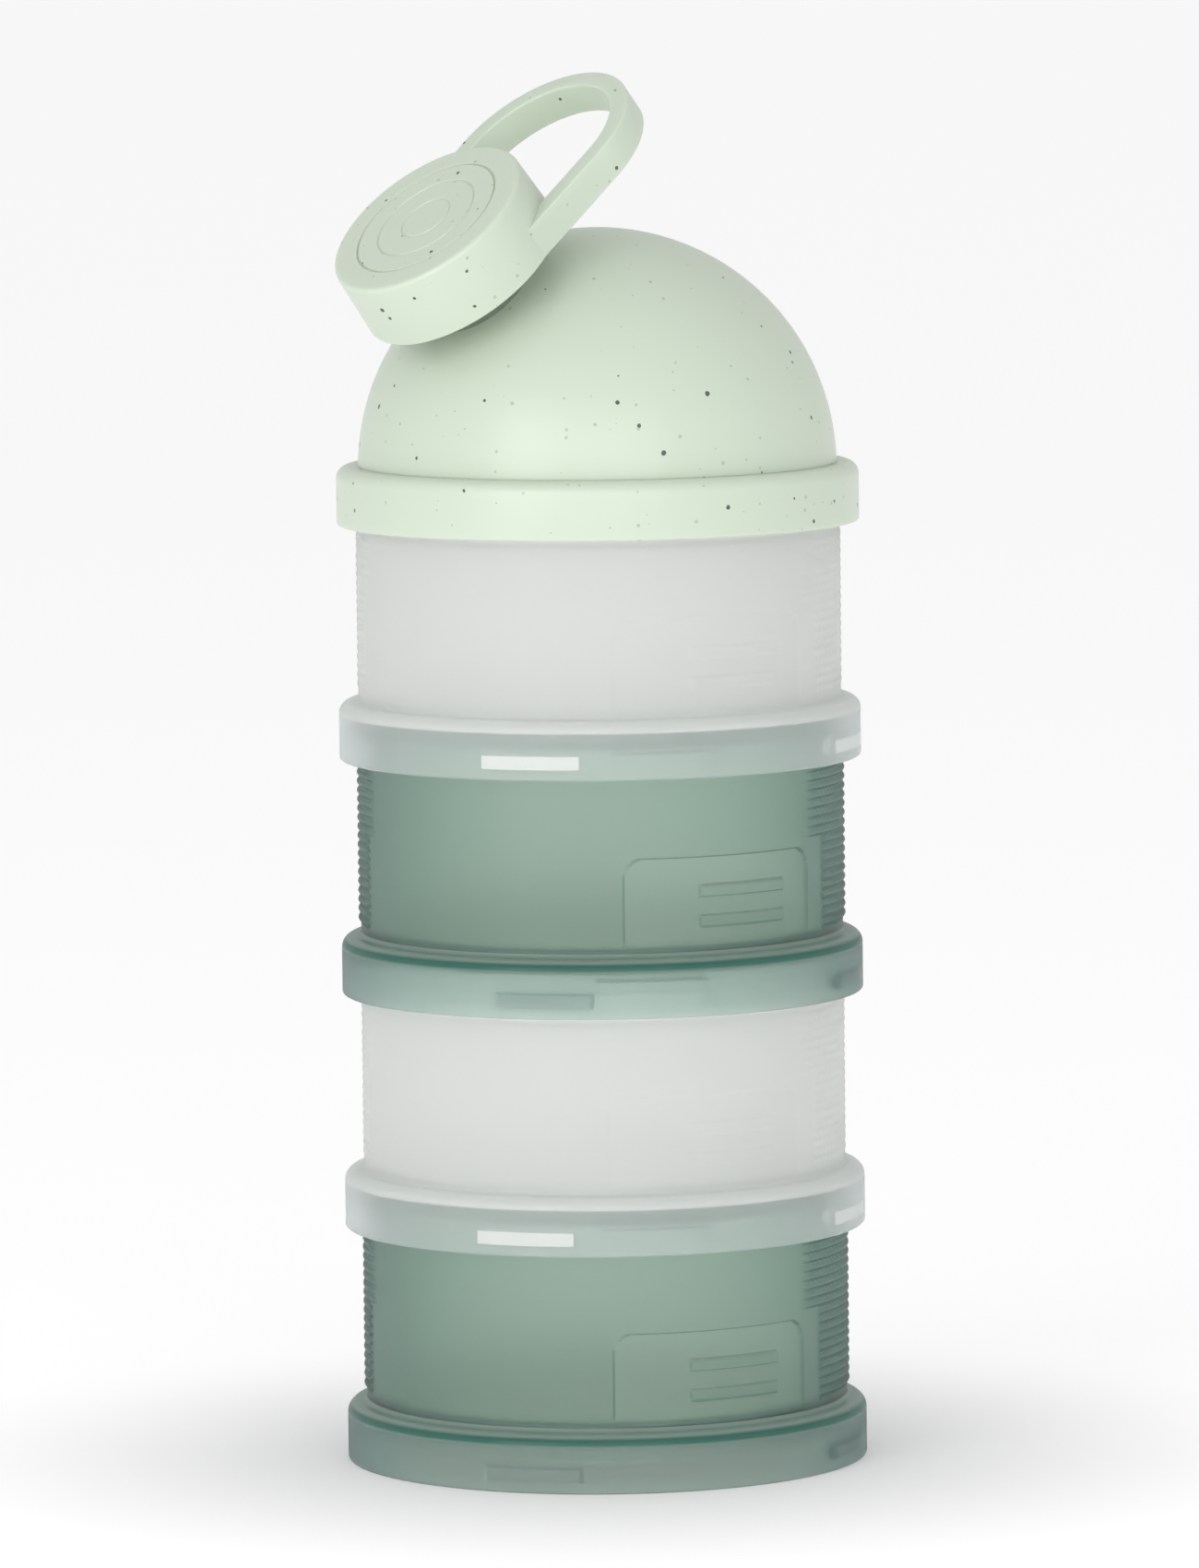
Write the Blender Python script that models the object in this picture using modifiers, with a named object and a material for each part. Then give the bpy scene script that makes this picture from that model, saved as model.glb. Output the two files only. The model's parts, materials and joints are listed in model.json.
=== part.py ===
"""Stackable formula dispenser: four identical pots, a domed lid with a tilted spout, the spout's cap with
its carrying loop, and a silicone ring on each plug. The origin is the centre of the base, at table level,
+Z is up and -Y is the front. Each pot's skirt drops over the neck of the pot below and turns to lock."""

import math

import bmesh
import bpy
from mathutils import Matrix, Vector

MM = 0.001
GAP = 0.3 * MM
STEPS = 36
SPOUT_STEPS = 32
SECTOR_STEP = 8.0
MERGE = 0.01 * MM

# Stack, measured from the lower edge of each skirt
PITCH = 36.04 * MM
POT_TURNS = (-1.5, -2.3, 2.0, 0.0)
LID_TURN = 0.0

# Skirt
SKIRT_R = 40.0 * MM
SKIRT_HEIGHT = 9.0 * MM
SKIRT_WALL = 1.5 * MM
SHOULDER_ROUND = 1.8 * MM
SKIRT_EDGE = 0.5 * MM

# Pot body
BODY_R = 37.0 * MM
BODY_WALL = 1.5 * MM
FLOOR = 1.8 * MM
FLOOR_ROUND = 2.0 * MM
RIM_EDGE = 0.4 * MM
FILLET = 0.4 * MM

# Plug under each floor, with a bead that keeps its ring on
PLUG_R = 33.9 * MM
PLUG_WALL = 1.2 * MM
PLUG_DEPTH = 3.2 * MM
BEAD_R = 34.5 * MM
BEAD_HEIGHT = 0.5 * MM

# Bayonet: lugs inside the skirt, ribs outside the neck; degrees turn from the front towards +X
LUGS = 4
LUG_SPAN = (-26.6, -4.7)
LUG_R = 37.35 * MM
LUG_Z = (1.7 * MM, 3.7 * MM)
RIB_SPAN = (1.0, 25.5)
RIB_R = 38.1 * MM
RIB_Z = (4.0 * MM, 5.6 * MM)
STOP_SPAN = (25.0, 27.0)

# Grip band and recessed label panel on the wall
GRIP_SPAN = (66.5, 285.0)
GRIP_R = BODY_R + 0.4 * MM
GRIP_Z = (11.0 * MM, 35.6 * MM)
PANEL_SPAN = (3.3, 55.0)
PANEL_TOP = 23.8 * MM
PANEL_ROUND = 3.0 * MM
PANEL_DEPTH = 0.3 * MM

# Dome and spout; the spout's axis passes through the dome's centre
DOME_R = 36.63 * MM
DOME_WALL = 1.6 * MM
DOME_CENTRE = 8.39 * MM
SPOUT_TILT = 40.1
SPOUT_TURN = 50.0
SPOUT_R = 9.8 * MM
SPOUT_WALL = 1.5 * MM
SPOUT_FOOT = 34.6 * MM
SPOUT_TOP = 49.1 * MM

# Spout cap, measured along the spout's axis from the dome's centre, with some draft towards its open foot
CAP_R = 16.23 * MM
CAP_FOOT_R = 16.6 * MM
CAP_FACE = 51.6 * MM
CAP_HEIGHT = 11.0 * MM
CAP_WALL = 1.5 * MM
CAP_TOP = 2.0 * MM
CAP_ROUND = 0.5 * MM
CAP_BORE_R = 10.15 * MM
COLLAR_R = 11.7 * MM
CAP_PLUG_R = 7.0 * MM
CAP_PLUG_WALL = 1.1 * MM
CAP_PLUG_DEPTH = 3.6 * MM
FACE_RECESS_R = 12.0 * MM
FACE_RECESS = 0.3 * MM

# Carrying loop, a flat band that narrows from the centre of its bend towards its root on the cap's axis
LOOP_HALF_WIDTH = 16.56 * MM
LOOP_ROOT = 15.8 * MM
LOOP_REACH = 22.7 * MM
LOOP_BAND = 3.1 * MM
LOOP_HEIGHT = 5.35 * MM
LOOP_DROP = 0.1 * MM

# Sealing rings
RING_LIP = 0.3 * MM

MINT = (0.672, 0.791, 0.631)
FROST = (0.678, 0.694, 0.672)
SAGE = (0.302, 0.451, 0.342)
SILICONE = (0.85, 0.86, 0.84)


def clear_scene():
    for obj in list(bpy.data.objects):
        bpy.data.objects.remove(obj, do_unlink=True)


def collection(name):
    made = bpy.data.collections.new(name)
    bpy.context.scene.collection.children.link(made)
    return made


def plastic(name, colour, roughness, transmission=0.0):
    material = bpy.data.materials.new(name)
    material.use_nodes = True
    shader = material.node_tree.nodes["Principled BSDF"]
    shader.inputs["Base Color"].default_value = (*colour, 1.0)
    shader.inputs["Roughness"].default_value = roughness
    shader.inputs["Transmission Weight"].default_value = transmission
    return material


def arc(centre_r, centre_z, radius, start, end, count):
    """Points on an arc of a profile; angles in degrees, 0 outwards and 90 up."""
    points = []
    for i in range(count + 1):
        angle = math.radians(start + (end - start) * i / count)
        points.append((centre_r + radius * math.cos(angle), centre_z + radius * math.sin(angle)))
    return points


def profile_object(name, points, closed, group):
    """The half outline of a turned shape, in the XZ plane. A closed one is a ring."""
    mesh = bpy.data.meshes.new(name)
    edges = [(i, i + 1) for i in range(len(points) - 1)]
    if closed:
        edges.append((len(points) - 1, 0))
    mesh.from_pydata([(r, 0.0, z) for r, z in points], edges, [])
    obj = bpy.data.objects.new(name, mesh)
    group.objects.link(obj)
    return obj


def turned(name, points, group, closed=False, steps=STEPS):
    """A solid of revolution about Z. Its points run down the outside and back up the inside."""
    obj = profile_object(name, points, closed, group)
    screw = obj.modifiers.new("turn", "SCREW")
    screw.angle = math.tau
    screw.steps = steps
    screw.render_steps = steps
    screw.use_merge_vertices = True
    screw.merge_threshold = MERGE
    return obj


def outline(name, loops, height, group):
    """A mesh prism: flat closed outlines in XY, extruded up to height from z = 0."""
    curve = bpy.data.curves.new(name, "CURVE")
    curve.dimensions = "2D"
    curve.fill_mode = "BOTH"
    curve.extrude = height / 2
    for points in loops:
        spline = curve.splines.new("POLY")
        spline.points.add(len(points) - 1)
        for point, (x, y) in zip(spline.points, points):
            point.co = (x, y, 0.0, 1.0)
        spline.use_cyclic_u = True
    flat = bpy.data.objects.new(name + "_curve", curve)
    group.objects.link(flat)
    mesh = evaluated_mesh(flat, name)
    bpy.data.objects.remove(flat, do_unlink=True)
    mesh.transform(Matrix.Translation((0.0, 0.0, height / 2)))
    solid = bpy.data.objects.new(name, mesh)
    group.objects.link(solid)
    return solid


def evaluated_mesh(obj, name):
    """The object's mesh after its modifiers, welded, with its normals out."""
    bpy.context.view_layer.update()
    graph = bpy.context.evaluated_depsgraph_get()
    mesh = bpy.data.meshes.new_from_object(obj.evaluated_get(graph))
    mesh.name = name
    shape = bmesh.new()
    shape.from_mesh(mesh)
    bmesh.ops.remove_doubles(shape, verts=shape.verts, dist=MERGE / 10)
    bmesh.ops.recalc_face_normals(shape, faces=shape.faces)
    shape.to_mesh(mesh)
    shape.free()
    return mesh


def sector(inner, outer, span):
    """The outline of an annular sector; degrees turn from the front towards +X."""
    count = max(2, round((span[1] - span[0]) / SECTOR_STEP))
    angles = [math.radians(span[0] + (span[1] - span[0]) * i / count - 90.0) for i in range(count + 1)]
    points = [(outer * math.cos(a), outer * math.sin(a)) for a in angles]
    points += [(inner * math.cos(a), inner * math.sin(a)) for a in reversed(angles)]
    return points


def quarter_turned(span):
    """The same span repeated once for each lug."""
    return [(span[0] + i * 360.0 / LUGS, span[1] + i * 360.0 / LUGS) for i in range(LUGS)]


def combine(obj, other, operation):
    """A Boolean with a helper, which stays hidden."""
    other.hide_render = True
    other.display_type = "WIRE"
    boolean = obj.modifiers.new(other.name, "BOOLEAN")
    boolean.operation = operation
    boolean.object = other
    boolean.solver = "EXACT"


def skirt_profile():
    """The skirt from its shoulder down and round to the plug's inner wall, shared by pots and lid."""
    inner = SKIRT_R - SKIRT_WALL
    under = SKIRT_HEIGHT - FLOOR
    plug_end = under - PLUG_DEPTH
    points = [(BODY_R, SKIRT_HEIGHT + FILLET), (BODY_R + FILLET, SKIRT_HEIGHT)]
    points += arc(SKIRT_R - SHOULDER_ROUND, SKIRT_HEIGHT - SHOULDER_ROUND, SHOULDER_ROUND, 90, 0, 2)
    points += [(SKIRT_R, SKIRT_EDGE), (SKIRT_R - SKIRT_EDGE, 0.0), (inner, 0.0), (inner, under)]
    points += [(PLUG_R, under), (PLUG_R, plug_end + BEAD_HEIGHT), (BEAD_R, plug_end + BEAD_HEIGHT)]
    points += [(BEAD_R, plug_end), (PLUG_R - PLUG_WALL, plug_end)]
    return points


def pot_profile():
    wall = BODY_R - BODY_WALL
    rim = PITCH + SKIRT_HEIGHT - FLOOR - GAP
    points = [(0.0, SKIRT_HEIGHT)]
    points += arc(wall - FLOOR_ROUND, SKIRT_HEIGHT + FLOOR_ROUND, FLOOR_ROUND, -90, 0, 2)
    points += [(wall, rim), (BODY_R - RIM_EDGE, rim), (BODY_R, rim - RIM_EDGE)]
    points += skirt_profile()
    under = SKIRT_HEIGHT - FLOOR
    points += [(PLUG_R - PLUG_WALL, under), (0.0, under)]
    return points


def bands(name, inner, outer, spans, low, high, group):
    """Annular sectors over the given spans, between two heights."""
    solid = outline(name, [sector(inner, outer, span) for span in spans], high - low, group)
    solid.data.transform(Matrix.Translation((0.0, 0.0, low)))
    return solid


def lug_solids(name, group):
    """The lugs, reaching from the skirt's wall inwards."""
    root = SKIRT_R - SKIRT_WALL / 2
    return bands(name, LUG_R, root, quarter_turned(LUG_SPAN), LUG_Z[0], LUG_Z[1], group)


def make_pot_mesh(helpers):
    """One pot moulding, its base at z = 0 and its lugs facing the front."""
    pot = turned("pot_turned", pot_profile(), helpers)
    combine(pot, lug_solids("pot_lugs", helpers), "UNION")

    root = BODY_R - BODY_WALL / 2
    rib_low = PITCH + RIB_Z[0]
    rib_high = PITCH + RIB_Z[1]
    ribs = bands("pot_ribs", root, RIB_R, quarter_turned(RIB_SPAN), rib_low, rib_high, helpers)
    combine(pot, ribs, "UNION")

    stop_low = PITCH + LUG_Z[0]
    stop_high = rib_high - GAP
    stops = bands("pot_stops", root, RIB_R - GAP / 3, quarter_turned(STOP_SPAN), stop_low, stop_high, helpers)
    combine(pot, stops, "UNION")

    grip = bands("pot_grip", root, GRIP_R, [GRIP_SPAN], GRIP_Z[0], GRIP_Z[1], helpers)
    combine(pot, grip, "UNION")

    combine(pot, panel_cutter(helpers), "DIFFERENCE")
    return evaluated_mesh(pot, "pot")


def panel_cutter(helpers):
    """A ring just inside the wall's surface, kept where a plate with round upper corners crosses it."""
    middle = math.radians((PANEL_SPAN[0] + PANEL_SPAN[1]) / 2)
    half = BODY_R * math.sin(math.radians(PANEL_SPAN[1] - PANEL_SPAN[0]) / 2)
    low = SKIRT_HEIGHT + FILLET + GAP
    points = [(-half, low), (half, low)]
    points += arc(half - PANEL_ROUND, PANEL_TOP - PANEL_ROUND, PANEL_ROUND, 0, 90, 3)
    points += arc(PANEL_ROUND - half, PANEL_TOP - PANEL_ROUND, PANEL_ROUND, 90, 180, 3)
    inner = BODY_R - PANEL_DEPTH
    outer = BODY_R + SKIRT_WALL
    plate = outline("panel_plate", [points], outer, helpers)
    plate.data.transform(Matrix.Rotation(math.pi / 2, 4, "X"))
    plate.data.transform(Matrix.Rotation(middle, 4, "Z"))
    high = PANEL_TOP + SKIRT_WALL
    ring_points = [(outer, high), (outer, low - GAP), (inner, low - GAP), (inner, high)]
    ring = turned("panel_ring", ring_points, helpers, closed=True)
    combine(ring, plate, "INTERSECT")
    return ring


def make_lid_mesh(helpers):
    """The domed lid with its spout neck, its base at z = 0."""
    inner = DOME_R - DOME_WALL
    low_outer = math.degrees(math.asin((SKIRT_HEIGHT + FILLET - DOME_CENTRE) / DOME_R))
    low_inner = math.degrees(math.acos((BODY_R - 2 * BODY_WALL) / inner))
    points = arc(0.0, DOME_CENTRE, DOME_R, 90, low_outer, 9)
    points += skirt_profile()[1:]
    points += [(PLUG_R - PLUG_WALL, SKIRT_HEIGHT - FLOOR)]
    points += arc(0.0, DOME_CENTRE, inner, low_inner, 90, 7)
    points[0] = (0.0, DOME_CENTRE + DOME_R)
    points[-1] = (0.0, DOME_CENTRE + inner)
    lid = turned("lid_turned", points, helpers)
    combine(lid, lug_solids("lid_lugs", helpers), "UNION")

    along = spout_frame(DOME_CENTRE)
    neck_points = [(0.0, SPOUT_TOP), (SPOUT_R - RIM_EDGE, SPOUT_TOP), (SPOUT_R, SPOUT_TOP - RIM_EDGE)]
    neck_points += [(SPOUT_R, SPOUT_FOOT), (0.0, SPOUT_FOOT)]
    neck = turned("spout_neck", neck_points, helpers, steps=SPOUT_STEPS)
    neck.matrix_world = along
    combine(lid, neck, "UNION")

    bore_r = SPOUT_R - SPOUT_WALL
    bore_points = [(0.0, CAP_FACE), (bore_r, CAP_FACE), (bore_r, SPOUT_FOOT / 2), (0.0, SPOUT_FOOT / 2)]
    bore = turned("spout_bore", bore_points, helpers, steps=SPOUT_STEPS)
    bore.matrix_world = along
    combine(lid, bore, "DIFFERENCE")
    return evaluated_mesh(lid, "dome_lid")


def spout_frame(centre_z):
    """The matrix that takes +Z to the spout's axis, from the dome's centre, and +X along the loop."""
    tilt = math.radians(SPOUT_TILT)
    turn = math.radians(SPOUT_TURN)
    axis = Vector((-math.sin(tilt) * math.sin(turn), -math.sin(tilt) * math.cos(turn), math.cos(tilt)))
    uphill = Vector((math.cos(tilt) * math.sin(turn), math.cos(tilt) * math.cos(turn), math.sin(tilt)))
    turned_frame = Matrix((uphill, axis.cross(uphill), axis)).transposed().to_4x4()
    return Matrix.Translation((0.0, 0.0, centre_z)) @ turned_frame


def make_cap_mesh(helpers):
    """The cap and its loop, with +Z along the spout's axis from the dome's centre."""
    bottom = CAP_FACE - CAP_HEIGHT
    points = [(0.0, CAP_FACE - FACE_RECESS), (FACE_RECESS_R - FACE_RECESS, CAP_FACE - FACE_RECESS)]
    points += [(FACE_RECESS_R, CAP_FACE)]
    points += arc(CAP_R - CAP_ROUND, CAP_FACE - CAP_ROUND, CAP_ROUND, 90, 0, 3)
    points += [(CAP_FOOT_R, bottom + RIM_EDGE), (CAP_FOOT_R - RIM_EDGE, bottom), (0.0, bottom)]
    cap = turned("cap_turned", points, helpers)

    loop_inner = LOOP_HALF_WIDTH - LOOP_BAND
    root_inner = LOOP_ROOT - LOOP_BAND
    band = [(0.0, -LOOP_ROOT)] + arc(LOOP_REACH, 0.0, LOOP_HALF_WIDTH, -92, 92, 16)
    band += [(0.0, LOOP_ROOT), (0.0, root_inner)] + arc(LOOP_REACH, 0.0, loop_inner, 92, -92, 12)
    band += [(0.0, -root_inner)]
    loop = outline("cap_loop", [band], LOOP_HEIGHT, helpers)
    loop.data.transform(Matrix.Translation((0.0, 0.0, bottom - LOOP_DROP)))
    combine(cap, loop, "UNION")

    roof = CAP_FACE - CAP_TOP
    mouth = bottom - CAP_WALL
    groove = CAP_R - CAP_WALL
    plug_end = roof - CAP_PLUG_DEPTH
    hollow_points = [(0.0, roof), (CAP_PLUG_R - CAP_PLUG_WALL, roof)]
    hollow_points += [(CAP_PLUG_R - CAP_PLUG_WALL, plug_end), (CAP_PLUG_R, plug_end), (CAP_PLUG_R, roof)]
    hollow_points += [(CAP_BORE_R, roof), (CAP_BORE_R, mouth), (0.0, mouth)]
    hollow = turned("cap_hollow", hollow_points, helpers, steps=SPOUT_STEPS)
    combine(cap, hollow, "DIFFERENCE")

    trench_points = [(groove, roof), (groove, mouth), (COLLAR_R, mouth), (COLLAR_R, roof)]
    trench = turned("cap_trench", trench_points, helpers, closed=True, steps=SPOUT_STEPS)
    combine(cap, trench, "DIFFERENCE")
    return evaluated_mesh(cap, "spout_cap")


def ring_mesh(name, seat_r, low, high, lip_r, helpers, steps):
    """A sealing ring with one lip outside, between low and high on a plug of radius seat_r."""
    inner = seat_r + GAP
    outer = lip_r - RING_LIP
    points = [(outer, high), (lip_r, (low + high) / 2), (outer, low), (inner, low), (inner, high)]
    return evaluated_mesh(turned(name + "_turned", points, helpers, closed=True, steps=steps), name)


def place(name, mesh, material, group, parent, matrix):
    """An object of its own for a moulding, placed relative to its parent."""
    obj = bpy.data.objects.new(name, mesh)
    if not mesh.materials:
        mesh.materials.append(None)
    group.objects.link(obj)
    obj.material_slots[0].link = "OBJECT"
    obj.material_slots[0].material = material
    obj.parent = parent
    obj.matrix_basis = matrix
    return obj


def smooth(mesh):
    mesh.shade_smooth()
    mesh.set_sharp_from_angle(angle=math.radians(30))


def build():
    clear_scene()
    parts = collection("formula_dispenser")
    helpers = collection("helpers")

    mint = plastic("speckled_mint", MINT, 0.42)
    frost = plastic("frosted_white", FROST, 0.4, 0.5)
    sage = plastic("translucent_sage", SAGE, 0.3, 0.5)
    silicone = plastic("clear_silicone", SILICONE, 0.5, 0.4)

    under = SKIRT_HEIGHT - FLOOR
    ring_low = under - PLUG_DEPTH + BEAD_HEIGHT + GAP
    lip = BODY_R - BODY_WALL - GAP
    roof = CAP_FACE - CAP_TOP
    cap_ring_low = roof - CAP_PLUG_DEPTH + GAP
    cap_lip = SPOUT_R - SPOUT_WALL - GAP
    meshes = {
        "pot": make_pot_mesh(helpers),
        "lid": make_lid_mesh(helpers),
        "cap": make_cap_mesh(helpers),
        "ring": ring_mesh("pot_ring", PLUG_R, ring_low, under - GAP, lip, helpers, STEPS),
        "cap_ring": ring_mesh(
            "cap_ring", CAP_PLUG_R, cap_ring_low, roof - GAP, cap_lip, helpers, SPOUT_STEPS
        ),
    }
    for obj in list(helpers.objects):
        bpy.data.objects.remove(obj, do_unlink=True)
    for mesh in meshes.values():
        smooth(mesh)

    stand = bpy.data.objects.new("stand", None)
    parts.objects.link(stand)

    # Each level hangs from the one below: the ring lifts off the neck, and the pot or lid turns on the ring
    below = stand
    turned_by = 0.0
    names = ("pot_1_green", "pot_2_white", "pot_3_green", "pot_4_white")
    for level, (name, turn) in enumerate(zip(names, POT_TURNS)):
        rise = Matrix.Translation((0.0, 0.0, PITCH if level else 0.0))
        ring = place("seal_pot_%d" % (level + 1), meshes["ring"], silicone, parts, below, rise)
        colour = frost if name.endswith("white") else sage
        spin = Matrix.Rotation(math.radians(turn - turned_by), 4, "Z")
        below = place(name, meshes["pot"], colour, parts, ring, spin)
        turned_by = turn

    ring = place("seal_lid", meshes["ring"], silicone, parts, below, Matrix.Translation((0.0, 0.0, PITCH)))
    spin = Matrix.Rotation(math.radians(LID_TURN - turned_by), 4, "Z")
    lid = place("dome_lid", meshes["lid"], mint, parts, ring, spin)
    cap_ring = place("seal_cap", meshes["cap_ring"], silicone, parts, lid, spout_frame(DOME_CENTRE))
    place("spout_cap", meshes["cap"], mint, parts, cap_ring, Matrix.Identity(4))


build()
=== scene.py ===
"""Looks of the stackable formula dispenser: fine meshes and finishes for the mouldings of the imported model,
on a plain pale floor in soft light. Lengths are in metres and angles in degrees; a pot's angles turn from its
front, -Y, towards +X. A profile is a list of (radius, height) that runs down the outside and back up the
inside."""

import json
import math
from dataclasses import dataclass
from functools import partial

import bmesh
import bpy
import numpy as np
from mathutils import Matrix, Vector


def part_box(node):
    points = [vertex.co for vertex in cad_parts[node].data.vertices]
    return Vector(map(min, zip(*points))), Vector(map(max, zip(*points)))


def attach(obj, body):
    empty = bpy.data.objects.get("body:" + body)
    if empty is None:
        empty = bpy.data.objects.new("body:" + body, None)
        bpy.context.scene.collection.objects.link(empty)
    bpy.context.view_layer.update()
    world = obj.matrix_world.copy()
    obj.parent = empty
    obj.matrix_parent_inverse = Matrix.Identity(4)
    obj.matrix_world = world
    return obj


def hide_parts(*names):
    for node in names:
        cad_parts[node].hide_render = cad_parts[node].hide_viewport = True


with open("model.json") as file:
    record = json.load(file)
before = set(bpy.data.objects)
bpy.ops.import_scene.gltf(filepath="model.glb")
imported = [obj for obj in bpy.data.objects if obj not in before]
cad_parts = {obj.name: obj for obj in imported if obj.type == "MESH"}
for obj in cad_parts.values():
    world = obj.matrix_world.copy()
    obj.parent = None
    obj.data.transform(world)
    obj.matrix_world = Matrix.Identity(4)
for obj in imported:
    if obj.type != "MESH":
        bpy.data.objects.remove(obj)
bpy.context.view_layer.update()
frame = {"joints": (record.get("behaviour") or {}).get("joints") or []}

MM = 0.001
JOINTS = {joint["name"]: joint for joint in frame["joints"]}

# Stack
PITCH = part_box("pot_2_white")[0].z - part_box("pot_1_green")[0].z
SKIRT_R = 40.0 * MM
SKIRT_HEIGHT = 9.0 * MM
SKIRT_WALL = 1.5 * MM
BODY_R = 37.0 * MM
BODY_WALL = 1.5 * MM
FLOOR = 1.8 * MM
GAP = 0.3 * MM
POTS = (
    ("pot_1_green", "pot_1", "sage_plastic", -1.5),
    ("pot_2_white", "pot_2", "frost_plastic", -2.3),
    ("pot_3_green", "pot_3", "sage_plastic", 2.0),
    ("pot_4_white", "pot_4", "frost_plastic", 0.0),
)
SEALS = (
    ("seal_pot_1", "pot_1"),
    ("seal_pot_2", "ring_2"),
    ("seal_pot_3", "ring_3"),
    ("seal_pot_4", "ring_4"),
    ("seal_lid", "ring_lid"),
)

# Plug under each floor
PLUG_R = 33.9 * MM
PLUG_WALL = 1.2 * MM
PLUG_DEPTH = 3.2 * MM
BEAD_R = 34.5 * MM
BEAD_HEIGHT = 0.5 * MM

# Bayonet
LUGS = 4
LUG_SPAN = (-26.6, -4.7)
LUG_DEPTH = 1.15 * MM
LUG_Z = (1.7 * MM, 3.7 * MM)
RIB_SPAN = (1.0, 25.5)
RIB_DEPTH = 1.1 * MM
RIB_Z = (4.0 * MM, 5.6 * MM)
STOP_SPAN = (25.0, 27.0)
STOP_DEPTH = 1.0 * MM
LOCK_EDGE = 0.15 * MM
LUG_END = 0.35
RIB_END = 0.4

# Grip ridges and label panel; relief runs out over the widths called EDGE (lengths) and END (degrees)
GRIP_SPAN = (62.5, 285.0)
GRIP_END = 0.8
GRIP_OVER_PANEL = 6.5
GRIP_Z = (11.0 * MM, 35.6 * MM)
GRIP_EDGE = 0.2 * MM
RIDGE_PITCH = 1.4 * MM
RIDGE_HEIGHT = 0.42 * MM
RIDGE_BULGE = 0.8
TICKS = 160
TICK_DEPTH = 0.26 * MM
LOW_TICK_DEPTH = 0.34 * MM
LOW_TICK_ROWS = 4.5
PANEL_SPAN = (3.3, 55.0)
PANEL_TOP = 23.8 * MM
PANEL_DEPTH = 0.4 * MM
PANEL_EDGE = 0.25 * MM
PANEL_CORNER = 3.0 * MM
PANEL_FOOT = 2.5 * MM
BAR_SPAN = (22.0, 46.0)
BAR_LEVELS = (13.4 * MM, 18.0 * MM)
BAR_HEIGHT = 1.5 * MM
BAR_DEPTH = 0.35 * MM
BAR_EDGE = 0.2 * MM
BAR_END = 0.5
RELIEF_SHARPNESS = {"sage_plastic": 1.0, "frost_plastic": 0.35}

# Dome and spout
DOME_R = 36.63 * MM
DOME_WALL = 1.6 * MM
DOME_CENTRE = JOINTS["turn_cap"]["pos_m"][2]
SPOUT_AXIS = Vector(JOINTS["turn_cap"]["axis"]).normalized()
SPOUT_R = 9.8 * MM
SPOUT_WALL = 1.5 * MM
SPOUT_TOP = 49.1 * MM
SPOUT_FILLET = 0.5 * MM
SPOUT_WAIST = 7.6 * MM
SPOUT_FLARE = 0.6 * MM
SPOUT_ROOT = 3.2 * MM

# Cap, along the spout's axis from the dome's centre
CAP_R = 16.23 * MM
CAP_FOOT_R = 16.6 * MM
CAP_FACE = 51.6 * MM
CAP_HEIGHT = 11.0 * MM
CAP_WALL = 1.5 * MM
CAP_TOP = 2.0 * MM
CAP_ROUND = 0.7 * MM
CAP_BORE_R = 10.15 * MM
COLLAR_R = 11.7 * MM
CAP_PLUG_R = 7.0 * MM
CAP_PLUG_WALL = 1.1 * MM
CAP_PLUG_DEPTH = 3.6 * MM
LOOP_HALF_WIDTH = 16.56 * MM
LOOP_ROOT = 15.8 * MM
LOOP_REACH = 22.7 * MM
LOOP_BAND = 3.1 * MM
LOOP_HEIGHT = 5.35 * MM
LOOP_DROP = 0.1 * MM
LOOP_EDGE = 0.3 * MM
LOOP_DRAFT = 1.9

# Plain grooves on the cap's face: radius, half the width, depth
FACE_GROOVES = (
    (4.2 * MM, 0.2 * MM, 0.14 * MM),
    (8.4 * MM, 0.2 * MM, 0.18 * MM),
    (12.0 * MM, 0.22 * MM, 0.35 * MM),
)

# Mesh detail
WALL_STEPS = 640
RING_STEPS = 256
CAP_STEPS = 160
ROW = 0.25 * MM

WHITE = (1.0, 1.0, 1.0, 1.0)
PLASTIC_IOR = 1.49

# Studio: the floor's glow grows from near the object to away from it; its drop near the object is a painted
# shadow
PAINTED_SHADOW_GLOW = (0.04, 0.125)
GLOW_AWAY = (0.12, 0.31)
SURROUND = 0.765
AIM = (0.0, 0.0, 0.11)

# Name, azimuth, elevation, distance, width, height, power
SOFTBOXES = (
    ("key", -34.0, 12.0, 1.3, 0.7, 0.9, 4.6),
    ("front", 8.0, 14.0, 1.4, 1.2, 0.8, 4.1),
    ("fill", 62.0, 10.0, 1.3, 0.6, 0.9, 0.4),
)

# Camera, fitted to the stack
CAMERA_PLACE = Vector((-0.178, -1727.17, 277.94)) * MM
CAMERA_PITCH = 5.759
CAMERA_ROLL = -0.617
CAMERA_LENS = 259.75


def arc(centre_r, centre_z, radius, start, end, count):
    """Points on an arc of a profile; 0 degrees is outwards and 90 is up."""
    angles = [math.radians(start + (end - start) * i / count) for i in range(count + 1)]
    return [(centre_r + radius * math.cos(a), centre_z + radius * math.sin(a)) for a in angles]


def rows(start, end, step):
    """Points from start to end of a profile line, no further apart than step."""
    length = math.dist(start, end)
    count = max(1, math.ceil(length / step - 1e-6))
    return [
        (start[0] + (end[0] - start[0]) * i / count, start[1] + (end[1] - start[1]) * i / count)
        for i in range(count + 1)
    ]


def joined(*runs):
    """Profile runs in one list, with a point that two runs share kept once."""
    points = []
    for run in runs:
        for point in run:
            if not points or math.dist(points[-1], point) > 1e-7:
                points.append(point)
    return points


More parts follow.
